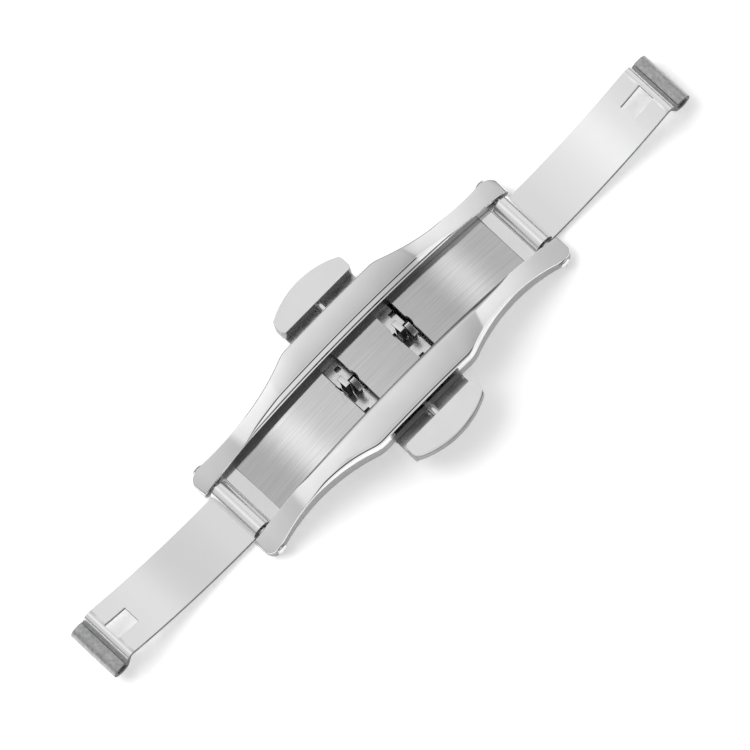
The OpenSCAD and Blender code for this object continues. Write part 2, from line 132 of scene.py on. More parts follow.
# %% Reach: 0 near the middle of the strap and 1 past a given distance, with a soft step
reach, r_in, r_out = new_group("reach", [("Start", FLOAT), ("End", FLOAT)], "Mask")
place = reach.nodes.new("ShaderNodeTexCoord")
split = reach.nodes.new("ShaderNodeSeparateXYZ")
size = reach.nodes.new("ShaderNodeMath")
size.operation = "ABSOLUTE"
step = reach.nodes.new("ShaderNodeMapRange")
step.interpolation_type = "SMOOTHSTEP"
reach.links.new(place.outputs["Object"], split.inputs[0])
reach.links.new(split.outputs["X"], size.inputs[0])
reach.links.new(size.outputs[0], step.inputs["Value"])
reach.links.new(r_in.outputs["Start"], step.inputs["From Min"])
reach.links.new(r_in.outputs["End"], step.inputs["From Max"])
reach.links.new(step.outputs["Result"], r_out.inputs["Mask"])
print("group:", reach.name)

# %% [markdown]
# ## The finishes
# A polishing wheel leaves an almost perfect mirror with faint hairlines along its path and a
# slow swell, like the skin of an orange. A brushing belt leaves long parallel grooves.
# Blasting with fine grit leaves a mottled grey without direction, and a stamped sheet keeps
# the dull skin of the rolling mill. Real steel is never one flat grey, so each finish runs
# between a darker and a lighter grey and between two roughnesses. A few helpers lay the
# nodes that all finishes share. Three numbers give how often a grain repeats in a metre along
# X, Y and Z: one of 9000 across the strap is a scratch about every tenth of a millimetre.


# %% A new steel, and one value of grain on it
def new_steel(name):
    mat = bpy.data.materials.new(name)
    mat.use_nodes = True
    tree = mat.node_tree
    tree.nodes.clear()
    out = tree.nodes.new("ShaderNodeOutputMaterial")
    shader = tree.nodes.new("ShaderNodeBsdfPrincipled")
    shader.inputs["Metallic"].default_value = 1.0
    tree.links.new(shader.outputs["BSDF"], out.inputs["Surface"])
    return mat, tree, shader


def grain_value(tree, stretch, detail=3.0, low=0.0, high=1.0):
    node = tree.nodes.new("ShaderNodeGroup")
    node.node_tree = grain
    node.inputs["Stretch"].default_value = stretch
    node.inputs["Detail"].default_value = detail
    node.inputs["Low"].default_value = low
    node.inputs["High"].default_value = high
    return node.outputs["Value"]


print("materials before the finishes:", len(bpy.data.materials))

# %% Mirror polish
CLOUD, HAIRLINE, SKIN = (260, 260, 260), (900, 9000, 900), (420, 420, 420)
SKIN_DEPTH = 0.01
BLUE_TINT = 1.008  # steel is a trace bluer than grey


def relief(tree, height, strength, depth, normal=None):
    node = tree.nodes.new("ShaderNodeBump")
    node.inputs["Strength"].default_value = strength
    node.inputs["Distance"].default_value = depth * MM
    tree.links.new(height, node.inputs["Height"])
    if normal:
        tree.links.new(normal, node.inputs["Normal"])
    return node.outputs["Normal"]


def between(tree, factor, dark, light):
    mix = tree.nodes.new("ShaderNodeMix")
    mix.data_type = "RGBA"
    for socket, value in ((mix.inputs[6], dark), (mix.inputs[7], light)):
        if isinstance(value, float):
            socket.default_value = (value, value, value * BLUE_TINT, 1)
        else:
            tree.links.new(value, socket)
    tree.links.new(factor, mix.inputs[0])
    return mix.outputs[2]


def mirror(name, dark, light, low, high, swell):
    mat, tree, shader = new_steel(name)
    cloud = grain_value(tree, CLOUD)
    hairline = grain_value(tree, HAIRLINE, 2.0, low, high)
    tree.links.new(between(tree, cloud, dark, light), shader.inputs["Base Color"])
    tree.links.new(hairline, shader.inputs["Roughness"])
    skin = grain_value(tree, SKIN, 1.0)
    tree.links.new(relief(tree, skin, swell, SKIN_DEPTH), shader.inputs["Normal"])
    print("finish:", name)
    return mat


rail_polish = mirror("rail_polish", 0.85, 0.90, 0.025, 0.055, 0.04)
button_polish = mirror("button_polish", 0.80, 0.85, 0.06, 0.12, 0.05)
bar_polish = mirror("bar_polish", 0.85, 0.90, 0.08, 0.16, 0.06)


# %% Brushed along the strap
FINE, BROAD = (160, 14000, 160), (60, 2600, 60)
FINE_STRENGTH, FINE_DEPTH, BROAD_STRENGTH, BROAD_DEPTH = 0.18, 0.006, 0.08, 0.01


def blend(tree, factor, a, b):
    mix = tree.nodes.new("ShaderNodeMix")
    for socket, value in ((mix.inputs[2], a), (mix.inputs[3], b)):
        if isinstance(value, float):
            socket.default_value = value
        else:
            tree.links.new(value, socket)
    tree.links.new(factor, mix.inputs[0])
    return mix.outputs[0]


def brushed(name, dark, light, low, high):
    mat, tree, shader = new_steel(name)
    fine = grain_value(tree, FINE, 4.0)
    broad = grain_value(tree, BROAD, 2.0)
    tree.links.new(between(tree, fine, dark, light), shader.inputs["Base Color"])
    tree.links.new(blend(tree, broad, low, high), shader.inputs["Roughness"])
    waves = relief(tree, broad, BROAD_STRENGTH, BROAD_DEPTH)
    grooves = relief(tree, fine, FINE_STRENGTH, FINE_DEPTH, waves)
    tree.links.new(grooves, shader.inputs["Normal"])
    print("finish:", name)
    return mat


deck_finish = brushed("brushed_deck", 0.52, 0.64, 0.06, 0.10)

# %% Satin blades that end in a blasted tube
TUBE_START, TUBE_END = 41.1, 41.7  # the sheet turns into the tube between these, in X
SILK, MOTTLE, PITS = (300, 6000, 300), (2600, 2600, 2600), (9000, 9000, 9000)
SILK_HEIGHT, BLADE_STRENGTH, BLADE_DEPTH = 0.003, 0.5, 0.012


def reach_mask(tree, start, end):
    node = tree.nodes.new("ShaderNodeGroup")
    node.node_tree = reach
    node.inputs["Start"].default_value = start * MM
    node.inputs["End"].default_value = end * MM
    return node.outputs["Mask"]


def blade_steel(name):
    mat, tree, shader = new_steel(name)
    tube = reach_mask(tree, TUBE_START, TUBE_END)
    silk = grain_value(tree, SILK)
    mottle = grain_value(tree, MOTTLE, 4.0)
    pits = grain_value(tree, PITS, 2.0)
    sheet = between(tree, silk, 0.89, 0.90)
    grit = between(tree, mottle, 0.36, 0.62)
    tree.links.new(between(tree, tube, sheet, grit), shader.inputs["Base Color"])
    rough = blend(tree, tube, blend(tree, silk, 0.23, 0.25), blend(tree, mottle, 0.36, 0.48))
    tree.links.new(rough, shader.inputs["Roughness"])
    height = blend(tree, tube, blend(tree, silk, 0.0, SILK_HEIGHT), pits)
    bumps = relief(tree, height, BLADE_STRENGTH, BLADE_DEPTH)
    tree.links.new(bumps, shader.inputs["Normal"])
    print("finish:", name)
    return mat


blade_finish = blade_steel("satin_blade")


# %% Stamped sheet, turned pins, spring wire and the walls that no wheel reaches, dark with painted shade
STAIN, PIT_DEPTH = (700, 700, 700), 0.01


def plain(name, dark, light, low, high, size, strength):
    mat, tree, shader = new_steel(name)
    pits = grain_value(tree, (size, size, size))
    stain = grain_value(tree, STAIN, 2.0, low, high)
    tree.links.new(between(tree, pits, dark, light), shader.inputs["Base Color"])
    tree.links.new(stain, shader.inputs["Roughness"])
    tree.links.new(relief(tree, pits, strength, PIT_DEPTH), shader.inputs["Normal"])
    print("finish:", name)
    return mat


stamped = plain("stamped_slide", 0.76, 0.88, 0.16, 0.28, 5000, 0.2)
turned = plain("turned_pin", 0.74, 0.84, 0.12, 0.22, 4000, 0.1)
# The three wall materials below are rougher than the polished tops, and their dark base colour
# is painted shade: the dark that steep walls mirror from the shadowed table and the narrow
# gaps beside them.
cut_edge_painted_shade = plain("cut_edge_painted_shade", 0.33, 0.39, 0.28, 0.36, 9000, 0.1)
sheet_edge_painted_shade = plain("sheet_edge_painted_shade", 0.08, 0.13, 0.30, 0.42, 9000, 0.1)
button_side = plain("button_side", 0.25, 0.31, 0.22, 0.30, 9000, 0.08)
wire = plain("spring_wire", 0.60, 0.72, 0.18, 0.30, 6000, 0.15)

# %% [markdown]
# ## Dressing a piece
# Seen from above, the photograph draws each piece with a dark outline: its walls. The walls
# of the rails, the stamped sheets and the buttons are duller than their tops, and they get a
# material of their own whose dark colour is painted shade, standing for the shadowed table and
# the narrow gaps that these walls mirror. A wall is a face whose normal points sideways. The
# blades are curved sheets that turn steep near the tube, so only their long edges and the
# window count there.
#
# Every mesh that takes the place of a solid does so in the same way: it rides on the body of
# its solid and hides it.

# %% Walls, and how each new mesh takes the place of its solid
STEEP, BUTTON_STEEP, BLADE_STEEP = 0.16, 0.45, 0.3  # largest share of Z in a wall's normal
BLADE_SIDE = 0.6  # least share of Y in the normal of a blade's long edge
WINDOW_X0, WINDOW_X1 = 24, 41  # the blade's window lies between these, in X


def is_wall(face, node):
    level = abs(face.normal.z)
    if node[:5] == "blade":
        window = WINDOW_X0 * MM < abs(face.center.x) < WINDOW_X1 * MM
        return level < BLADE_STEEP and (window or abs(face.normal.y) > BLADE_SIDE)
    return level < (BUTTON_STEEP if node[:6] == "button" else STEEP)


def dress(obj, name, material, body, node, painted_wall_shade=None):
    obj.name = name
    obj.data.name = name
    obj.data.materials.clear()
    obj.data.materials.append(material)
    # Faces that count as walls take the second material, whose dark colour is painted shade.
    if painted_wall_shade:
        obj.data.materials.append(painted_wall_shade)
        for face in obj.data.polygons:
            face.material_index = 1 if is_wall(face, node) else 0
    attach(obj, body)
    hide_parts(node)
    print(name, len(obj.data.polygons), "faces")


print("painted wall shades:", cut_edge_painted_shade.name, sheet_edge_painted_shade.name, button_side.name)

# %% [markdown]
# ## The two side rails
# The rails are the face of the clasp: mirror-polished bars, humped in the middle, with one
# round facet over the middle and one falling to each hinge. A bevel runs along the inner edge
# and a steeper one along the outer edge. Both fade out towards the hinges, and the plan has a
# shoulder and a long waist.
#
# A mirror shows every flaw in a surface, so these two can't be rounded copies of the solid,
# whose curves are short flats. They are made like a ship's hull instead: a grid whose rows
# are laid on cross-sections, taken at stations along the rail. The circles are those of the
# solid. Only the end facets fall outwards by up to a degree more and the inner bevel is
# flatter, because that is what the reflections in the photograph show. No operator can lay
# these curves, so the rows are placed in code.


# %% Circles and lines of a rail, in millimetres
def slope(degrees):
    return math.tan(math.radians(degrees))


# From above: the inner wall, the outer wall in the middle and at the ends, waist and shoulder
RAIL_IN, RAIL_OUT, END_OUT = 3.625, 7.55, 6.15
WAIST_X, WAIST_Y, WAIST_R, SHOULDER_R = 16.2, 29.7, 24.0, 4.0
SHOULDER_Y = RAIL_OUT - SHOULDER_R
SHOULDER_X = WAIST_X - math.sqrt((WAIST_R + SHOULDER_R) ** 2 - (WAIST_Y - SHOULDER_Y) ** 2)
MEET_X = SHOULDER_X + SHOULDER_R * (WAIST_X - SHOULDER_X) / (WAIST_R + SHOULDER_R)
# From the side: the boss round the hinge pin, the facets and the underside
END_X, BOSS_X, BOSS_R, CORNER_R = 22.85, 21.7, 1.15, 1.1
TOP_Z, MID_R, END_C, END_R = 7.3, 66.0, -38.48, 46.15
UNDER_Z, UNDER_R = 4.15, 62.4
# Across: the facets have these heights at FACET_Y and fall outwards from there
FACET_Y = 3.987
MID_SLOPE, END_SLOPE = slope(6.0), slope(7.3)
BEVEL_R, BEVEL_DEPTH, BEVEL_SLOPE = 112.9, 1.35, slope(75)
print("shoulder at", round(SHOULDER_X, 2), "meets the waist at", round(MEET_X, 2))

# %% Outline from above, at a distance x along the rail
END_BLEND = 0.05


def soft_min(a, b, k):
    h = max(k - abs(a - b), 0.0) / k
    return min(a, b) - h * h * k / 4


def height(x, centre, radius):
    return centre + math.sqrt(radius**2 - x**2)


def outline(x):
    x = abs(x)
    if x < SHOULDER_X:
        y = RAIL_OUT
    elif x < MEET_X:
        y = height(x - SHOULDER_X, SHOULDER_Y, SHOULDER_R)
    else:
        y = WAIST_Y - math.sqrt(WAIST_R**2 - (x - WAIST_X) ** 2)
        y = soft_min(y, END_OUT, END_BLEND) if x > WAIST_X else y
    corner = x - (END_X - CORNER_R)
    return y if corner < 0 else y - CORNER_R + math.sqrt(CORNER_R**2 - corner**2)


print("outer wall at 0, 12 and 20 mm:", [round(outline(x), 2) for x in (0, 12, 20)])

# %% Top, underside and depth of the bevel, at a distance x along the rail
CREASE_BLEND, BOSS_BLEND, TINY = 0.012, 0.12, 1e-6


def boss(x):
    return math.sqrt(max(BOSS_R**2 - (abs(x) - BOSS_X) ** 2, 0.0))


def crown(x, y):
    middle = height(x, TOP_Z - MID_R, MID_R - (y - FACET_Y) * MID_SLOPE)
    end = height(x, END_C, END_R) - (y - FACET_Y) * END_SLOPE
    z = soft_min(middle, end, CREASE_BLEND)
    past = abs(x) - BOSS_X
    if past > 0:
        return soft_min(z, BOSS_R + boss(x), min(BOSS_BLEND, 0.5 * past) + TINY)
    return z


def underside(x):
    low = height(x, UNDER_Z - UNDER_R, UNDER_R)
    if abs(x) > BOSS_X:
        return BOSS_R - boss(x)
    return min(low, BOSS_R - boss(x)) if abs(x) > BOSS_X - BOSS_R else low


def bevel_depth(x):
    fall = TOP_Z - height(x, TOP_Z - BEVEL_R, BEVEL_R)
    drop = TOP_Z - crown(x, FACET_Y)
    return max(BEVEL_DEPTH + fall - drop, 0.0)


for x in (0, 12, 20):
    sizes = crown(x, FACET_Y), underside(x), bevel_depth(x)
    print("at", x, "mm: top, underside, bevel", [round(v, 2) for v in sizes])

# %% [markdown]
# From the inner wall over the top to the outer wall, a cross-section has eleven corners: the
# foot of the inner wall, a sloping lip, a small step, a bevel and a narrow chamfer, then the
# crowned facet, two narrow chamfers, the outer bevel and the foot of the outer wall. Polishing
# rounds them all, so each corner becomes a short curve between its two sides.

# %% Corners of a cross-section at a distance x
LIP_SLOPE, SOFT_SLOPE, WIDE_SLOPE, STEEP_SLOPE = (slope(a) for a in (32, 18, 28, 34))
# Least size, what the full bevel adds, and how fast it adds it
LIP_WIDTH, SOFT_WIDTH, STEP_DEPTH = (0.05, 0.10, 3), (0.03, 0.09, 2), (0.12, 0.25, 1)
WIDE_WIDTH, STEP_WIDTH, OUTER_WIDTH = 0.42, 0.03, 0.04
OUTER_SHARE, OUTER_LEAST = 0.6, 0.10
STEP_ROOM, OUTER_ROOM = 0.2, 0.35  # largest share of the rail's depth


def grow(least, more, pace, fade):
    return least + more * min(pace * fade, 1.0)


def section_corners(x):
    low, side = underside(x), outline(x)
    room = crown(x, FACET_Y) - low
    fade = min(bevel_depth(x), 1.0)
    soft, lip, wide = grow(*SOFT_WIDTH, fade), grow(*LIP_WIDTH, fade), WIDE_WIDTH * fade
    step = min(grow(*STEP_DEPTH, fade), STEP_ROOM * room)
    outer = min(max(OUTER_SHARE * bevel_depth(x), OUTER_LEAST), OUTER_ROOM * room)

    y_in = RAIL_IN + lip + STEP_WIDTH + wide + soft
    y_out = side - max(outer / BEVEL_SLOPE, OUTER_WIDTH) - 2 * soft
    crest_in = Vector((y_in, crown(x, y_in)))
    chamfer_in = crest_in - Vector((soft, soft * SOFT_SLOPE))
    bevel_in = chamfer_in - Vector((wide, wide * WIDE_SLOPE))
    lip_z = bevel_in.y - step
    crest_out = Vector((y_out, crown(x, y_out)))
    chamfer_out = crest_out + Vector((soft, -soft * SOFT_SLOPE))
    bevel_out = chamfer_out + Vector((soft, -soft * STEEP_SLOPE))
    return [
        Vector((RAIL_IN, low)),
        Vector((RAIL_IN, lip_z - LIP_SLOPE * lip)),
        Vector((RAIL_IN + lip, lip_z)),
        bevel_in, chamfer_in, crest_in, crest_out, chamfer_out, bevel_out,
        Vector((side, bevel_out.y - outer)),
        Vector((side, low)),
    ]


middle = section_corners(0.0)
print("corners in the middle:", len(middle), [(round(p.x, 2), round(p.y, 2)) for p in middle])

# %% Round each corner and crown the facet
CROWN_STEPS, ROUND_STEPS = 12, 5
CREST, WALL_CORNERS = 5, (0, 9, 10)
TOP_LEG, WALL_LEG, LEG_SHARE = 0.045, 0.08, 0.45
SWELL, SWELL_LOSS, SWELL_X, SWELL_RUN = 0.0131, 0.7, 10, 3  # crown's rise, less past SWELL_X


def rounded(before, corner, after, leg):
    a, b = before - corner, after - corner
    start = corner + a.normalized() * min(leg, LEG_SHARE * a.length)
    end = corner + b.normalized() * min(leg, LEG_SHARE * b.length)
    points = []
    for i in range(ROUND_STEPS):
        t = i / (ROUND_STEPS - 1)
        points.append(start * (1 - t) ** 2 + corner * 2 * t * (1 - t) + end * t**2)
    return points


def section(x):
    corners = section_corners(x)
    y_in, y_out = corners[CREST].x, corners[CREST + 1].x
    loss = SWELL_LOSS * min(max((abs(x) - SWELL_X) / SWELL_RUN, 0), 1)
    swell = SWELL * (y_out - y_in) * (1 - loss)
    points = []
    for i, corner in enumerate(corners):
        leg = WALL_LEG if i in WALL_CORNERS else TOP_LEG
        points += rounded(corners[i - 1], corner, corners[(i + 1) % len(corners)], leg)
        if i == CREST:
            left, right = points[-1].x, y_out - TOP_LEG
            for k in range(1, CROWN_STEPS):
                y = left + (right - left) * k / CROWN_STEPS
                t = 2 * (y - y_in) / (y_out - y_in) - 1
                points.append(Vector((y, crown(x, y) + swell * (1 - t * t))))
    return points


print("points on a cross-section:", len(section(0.0)))

# %% Stations, close together where the rail turns quickly
LONG_STEP, SHORT_STEP, SHORT_FROM = 0.2, 0.1, 20.4
TURN_STEPS, TURN_ANGLE = 22, math.radians(87)


def stations():
    half = [LONG_STEP * i for i in range(1, 103)]
    half += [SHORT_FROM + SHORT_STEP * i for i in range(1, 13)]
    turn = [TURN_ANGLE * i / TURN_STEPS for i in range(1, TURN_STEPS + 1)]
    half += [BOSS_X + BOSS_R * math.sin(angle) for angle in turn]
    return [-x for x in reversed(half)] + [0.0] + half


print("stations:", len(stations()), "up to", round(stations()[-1], 2), "mm")

# %% Lay a grid on the stations
MERGE = 2e-7  # metres


def make_rail(side):
    xs = stations()
    ring = len(section(0.0))
    bpy.ops.object.select_all(action="DESELECT")
    bpy.ops.mesh.primitive_grid_add(x_subdivisions=ring, y_subdivisions=len(xs) - 1, size=0.02)
    rail = bpy.context.object
    for j, x in enumerate(xs):
        points = section(x)
        for i in range(ring + 1):
            p = points[i % ring]
            rail.data.vertices[j * (ring + 1) + i].co = Vector((x, side * p.x, p.y)) * MM
    pick(rail)
    bpy.ops.object.mode_set(mode="EDIT")
    bpy.ops.mesh.select_all(action="SELECT")
    bpy.ops.mesh.remove_doubles(threshold=MERGE)
    bpy.ops.mesh.select_all(action="DESELECT")
    bpy.ops.mesh.select_non_manifold()
    bpy.ops.mesh.edge_face_add()
    bpy.ops.mesh.select_all(action="SELECT")
    bpy.ops.mesh.normals_make_consistent(inside=False)
    bpy.ops.object.mode_set(mode="OBJECT")
    return rail


print("grid:", len(section(0.0)), "points by", len(stations()), "stations")

# %% [markdown]
# Under the middle of each rail hangs a deep block. The button's slide passes through a window
# in it, and the button's stem runs in a bore just above, which also enters the rail. The
# block is a box cut by a smaller box and a cylinder, with its edges rounded afterwards.

# %% Cutting tools, in millimetres
BORE_R, BORE_LENGTH, BORE_Y, BORE_Z = 0.43, 6, 7.655, 4.2


def box(x0, x1, y0, y1, z0, z1):
    bpy.ops.object.select_all(action="DESELECT")
    bpy.ops.mesh.primitive_cube_add(size=1)
    cube = bpy.context.object
    for v in cube.data.vertices:
        v.co = Vector((
            (x1 if v.co.x > 0 else x0) * MM,
            (y1 if v.co.y > 0 else y0) * MM,
            (z1 if v.co.z > 0 else z0) * MM,
        ))
    return cube


def cut(obj, tool):
    apply_modifier(obj, "BOOLEAN", operation="DIFFERENCE", solver="EXACT", object=tool)
    bpy.data.objects.remove(tool)


def stem_bore(side):
    bpy.ops.object.select_all(action="DESELECT")
    bpy.ops.mesh.primitive_cylinder_add(
        vertices=48, radius=BORE_R * MM, depth=BORE_LENGTH * MM,
        location=(0, side * BORE_Y * MM, BORE_Z * MM), rotation=(math.radians(90), 0, 0),
    )
    tool = bpy.context.object
    bpy.ops.object.transform_apply(location=True, rotation=True, scale=True)
    return tool


print("stem bore:", 2 * BORE_R, "mm across, from", BORE_Y - BORE_LENGTH / 2, "mm outwards")

# %% Both rails and their blocks
BLOCK_X, BLOCK_Y, BLOCK_Z = 6.4, (4.625, 7.35), (1.75, 4.3)
SLIDE_X, SLIDE_Z = 5.01, (2.3, 3.02)
BLOCK_ROUND, RAIL_SMOOTH, COPY_SMOOTH = 0.08, 24, 32
for side, node in ((1, "rail_back"), (-1, "rail_front")):
    rail = make_rail(side)
    cut(rail, stem_bore(side))
    smooth(rail, RAIL_SMOOTH)
    # The rails' walls take the dark wall material, with painted shade in its colour.
    dress(rail, node + "_dressed", rail_polish, "base", node, cut_edge_painted_shade)
    y0, y1 = sorted(side * y for y in BLOCK_Y)
    block = box(-BLOCK_X, BLOCK_X, y0, y1, *BLOCK_Z)
    cut(block, box(-SLIDE_X, SLIDE_X, y0 - 1, y1 + 1, *SLIDE_Z))
    cut(block, stem_bore(side))
    apply_modifier(block, "BEVEL", width=BLOCK_ROUND * MM, segments=3, limit_method="ANGLE")
    smooth(block, COPY_SMOOTH)
    dress(block, node + "_block", rail_polish, "base", node)

# %% [markdown]
# ## Rounded copies of the other solids
# No stamped or milled part has knife edges: tumbling and polishing round them by a few
# hundredths of a millimetre, and that thin round is what catches the light. A solid has the
# right shape but sharp edges, so each of these pieces is a merged copy of its solid whose
# sharp edges are bevelled. A weighted normal pass keeps the flat faces flat up to the round.

# %% Copy a solid, merge it and round its edges
COPY_MERGE, FLAT_ANGLE = 1e-6, math.radians(0.15)


def rounded_copy(node, radius):
    copy = nodes[node].copy()
    copy.data = nodes[node].data.copy()
    copy.parent = None
    bpy.context.scene.collection.objects.link(copy)
    pick(copy)
    bpy.ops.object.mode_set(mode="EDIT")
    bpy.ops.mesh.select_all(action="SELECT")
    bpy.ops.mesh.remove_doubles(threshold=COPY_MERGE)
    bpy.ops.mesh.dissolve_limited(angle_limit=FLAT_ANGLE)
    bpy.ops.object.mode_set(mode="OBJECT")
    if radius:
        apply_modifier(
            copy, "BEVEL", width=radius * MM, segments=3, limit_method="ANGLE",
            angle_limit=math.radians(COPY_SMOOTH), miter_outer="MITER_ARC",
        )
    smooth(copy, COPY_SMOOTH)
    return copy


print("solids left to copy:", len([node for node in nodes if not node.startswith("rail")]))

# %% Which finish and how round each piece is
pieces = [
    ("deck_left", "base", deck_finish, 0.04, "brushed"),
    ("deck_middle", "base", deck_finish, 0.04, "brushed"),
    ("deck_right", "base", deck_finish, 0.04, "brushed"),
    ("end_bar_left", "base", bar_polish, 0.06, "polished"),
    ("end_bar_right", "base", bar_polish, 0.06, "polished"),
    ("tray", "base", bar_polish, 0.04, "polished"),
    ("hinge_pin_left", "base", turned, 0.08, "plain"),
    ("hinge_pin_right", "base", turned, 0.08, "plain"),
    ("stop_pin_front", "base", turned, 0, "plain"),
    ("stop_pin_back", "base", turned, 0, "plain"),
    ("blade_left", "blade_left", blade_finish, 0.05, "polished"),
    ("blade_right", "blade_right", blade_finish, 0.05, "polished"),
    ("slide_front", "latch_front", stamped, 0.05, "plain"),
    ("slide_back", "latch_back", stamped, 0.05, "plain"),
    ("button_front", "latch_front", button_polish, 0.08, "polished"),
    ("button_back", "latch_back", button_polish, 0.08, "polished"),
    ("stem_front", "latch_front", turned, 0, "plain"),
    ("stem_back", "latch_back", turned, 0, "plain"),
]
# Dark wall material for each kind of piece, found by the first five letters of its name:
# painted shade.
painted_wall_shade = {"blade": sheet_edge_painted_shade, "slide": sheet_edge_painted_shade, "deck_": sheet_edge_painted_shade, "butto": button_side}
print("pieces:", len(pieces))

# %% Dress them
PIN_STRETCH = 1.03  # the pin heads stand out a little from the rails, as in the photograph
for node, body, material, radius, slot in pieces:
    copy = rounded_copy(node, radius)
    if node.startswith("hinge_pin"):
        copy.data.transform(Matrix.Diagonal((1, PIN_STRETCH, 1, 1)))
    dress(copy, node + "_dressed", material, body, node, painted_wall_shade.get(node[:5]))

# %% [markdown]
# ## The return springs
# Each spring is pressed from both sides, at its back end by the back slide and at its front
# end by the front one. So it is cut at its middle coil into two halves, each with a mesh of
# its own.

# %% Springs in halves
AWAY_X, AWAY_Y, AWAY_Z = 10, 5, 8  # a box this large holds all of one half
for node in ("spring_left", "spring_right"):
    halves = rounded_copy(node, 0), rounded_copy(node, 0)
    for half, way, y0, y1 in zip(halves, ("back", "front"), (-AWAY_Y, 0), (0, AWAY_Y)):
        cut(half, box(-AWAY_X, AWAY_X, y0, y1, 0, AWAY_Z))
        smooth(half, COPY_SMOOTH)
        dress(half, node + "_" + way, wire, "base", node)
        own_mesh(half)

# %% [markdown]
# ## The table
# A photograph on pure white still keeps a soft shadow under the metal. The floor is white, and
# the camera, the mirrors and anything seen through glass get a little extra white from it, so
# that it reads as paper white without more light falling on the steel.

# %% White floor
FLOOR_SIZE, FLOOR_WHITE, FLOOR_ROUGH, FLOOR_LIFT = 4.0, 0.93, 0.9, 0.27
bpy.ops.object.select_all(action="DESELECT")
bpy.ops.mesh.primitive_plane_add(size=FLOOR_SIZE, location=(0, 0, 0))
floor = bpy.context.object
floor.name = "table"
white, tree, shader = new_steel("white_table")
shader.inputs["Metallic"].default_value = 0.0
shader.inputs["Base Color"].default_value = (FLOOR_WHITE, FLOOR_WHITE, FLOOR_WHITE, 1)
shader.inputs["Roughness"].default_value = FLOOR_ROUGH
path = tree.nodes.new("ShaderNodeLightPath")
lift = path.outputs["Is Camera Ray"]
for ray in ("Is Glossy Ray", "Is Transmission Ray"):
    either = tree.nodes.new("ShaderNodeMath")
    either.operation = "MAXIMUM"
    tree.links.new(lift, either.inputs[0])
    tree.links.new(path.outputs[ray], either.inputs[1])
    lift = either.outputs[0]
amount = tree.nodes.new("ShaderNodeMath")
amount.operation = "MULTIPLY"
amount.inputs[1].default_value = FLOOR_LIFT
tree.links.new(lift, amount.inputs[0])
shader.inputs["Emission Color"].default_value = (1, 1, 1, 1)
tree.links.new(amount.outputs[0], shader.inputs["Emission Strength"])
floor.data.materials.append(white)
print("table:", [round(v, 2) for v in floor.dimensions])

# %% [markdown]
# ## Light
# Polished steel has no colour of its own: it shows what stands around it. Product
# photographers put such a piece in a tent of white cloth with brighter and darker strips, so
# that each facet gets its own grey. The world here is that tent, read by the direction in
# which a ray leaves the clasp.
#
# The cloth is one curve of brightness along the strap times one across it, and the rails'
# facets show it. In it hangs a dark flag, which the narrow chamfers draw as thin dark lines.
# Pieces that are level from front to back, such as the deck plates, all look at one strip of
# the tent. It has a curve of its own, with the bright bands that cross the deck. Low down the
# tent is dark, and that gives the steep walls their dark outline.

# %% How bright the tent is, by the direction's share along each axis
LEAN = -0.11  # the cloth along the strap leans a little across it
ALONG = [
    (-1.0, 0.50), (-0.88, 0.50), (-0.73, 0.68), (-0.66, 0.66), (-0.62, 0.62), (-0.585, 0.61),
    (-0.555, 0.92), (-0.50, 0.99), (-0.33, 0.93), (-0.18, 0.88), (-0.10, 0.77), (-0.03, 0.74),
    (0.10, 0.71), (0.22, 0.67), (0.32, 0.60), (0.39, 0.52), (0.44, 0.52), (0.51, 0.87),
    (0.59, 0.97), (0.67, 0.92), (0.75, 0.80), (0.83, 0.62), (1.0, 0.50),
]
ACROSS = [
    (-1.0, 1.20), (-0.20, 0.95), (-0.09, 0.84), (0.15, 1.10), (0.25, 1.12), (0.35, 0.79),
    (0.55, 1.12), (1.0, 1.05),
]
FLAG_GREY = 0.06
FLAG_X = [(-1.0, 0.0), (-0.58, 0.0), (-0.53, 1.0), (0.42, 1.0), (0.50, 0.0), (1.0, 0.0)]
FLAG_Y = [
    (-1.0, 0.0), (-0.62, 0.0), (-0.50, 1.0), (-0.17, 1.0), (-0.11, 0.55), (-0.07, 0.15),
    (-0.03, 0.0), (1.0, 0.0),
]
STRIP = [
    (-1.0, 0.75), (-0.45, 0.72), (-0.36, 0.69), (-0.33, 0.74), (-0.30, 0.97), (-0.27, 1.28),
    (-0.236, 1.42), (-0.203, 1.24), (-0.173, 1.04), (-0.14, 0.97), (-0.08, 0.95), (0.07, 0.88),
    (0.19, 0.80), (0.30, 0.76), (0.36, 0.73), (0.42, 0.68), (0.45, 0.90), (0.48, 1.13),
    (0.511, 1.20), (0.538, 0.97), (0.567, 0.79), (0.60, 0.74), (0.68, 0.76), (0.80, 0.90),
    (1.0, 0.92),
]
STRIP_EDGES = [(-1.0, 0.0), (0.165, 0.0), (0.19, 1.0), (0.31, 1.0), (0.335, 0.0), (1.0, 0.0)]
UPWARD = [(-1.0, 0.5), (-0.05, 0.12), (0.20, 0.15), (0.32, 1.0), (1.0, 1.0)]
print("stops: along", len(ALONG), "across", len(ACROSS), "strip", len(STRIP))

# %% A new world, and curves of brightness in it
world = bpy.data.worlds.new("light_tent")
bpy.context.scene.world = world
world.use_nodes = True
sky = world.node_tree
sky.nodes.clear()


def sky_node(kind, inputs=(), **settings):
    node = sky.nodes.new("ShaderNode" + kind)
    for key, value in settings.items():
        setattr(node, key, value)
    for number, value in inputs:
        if isinstance(value, (int, float, tuple)):
            node.inputs[number].default_value = value
        else:
            sky.links.new(value, node.inputs[number])
    return node


def grey(level):
    return (level, level, level, 1)


def curve(share, stops):
    half = sky_node("Math", [(0, share), (1, 0.5), (2, 0.5)], operation="MULTIPLY_ADD")
    ramp = sky_node("ValToRGB", [(0, half.outputs[0])])
    ends = ramp.color_ramp.elements[0], ramp.color_ramp.elements[1]
    for end, stop in zip(ends, (stops[0], stops[-1])):
        end.color = grey(stop[1])
    for at, level in stops[1:-1]:
        ramp.color_ramp.elements.new(at / 2 + 0.5).color = grey(level)
    return ramp.outputs["Color"]


print("world:", world.name)

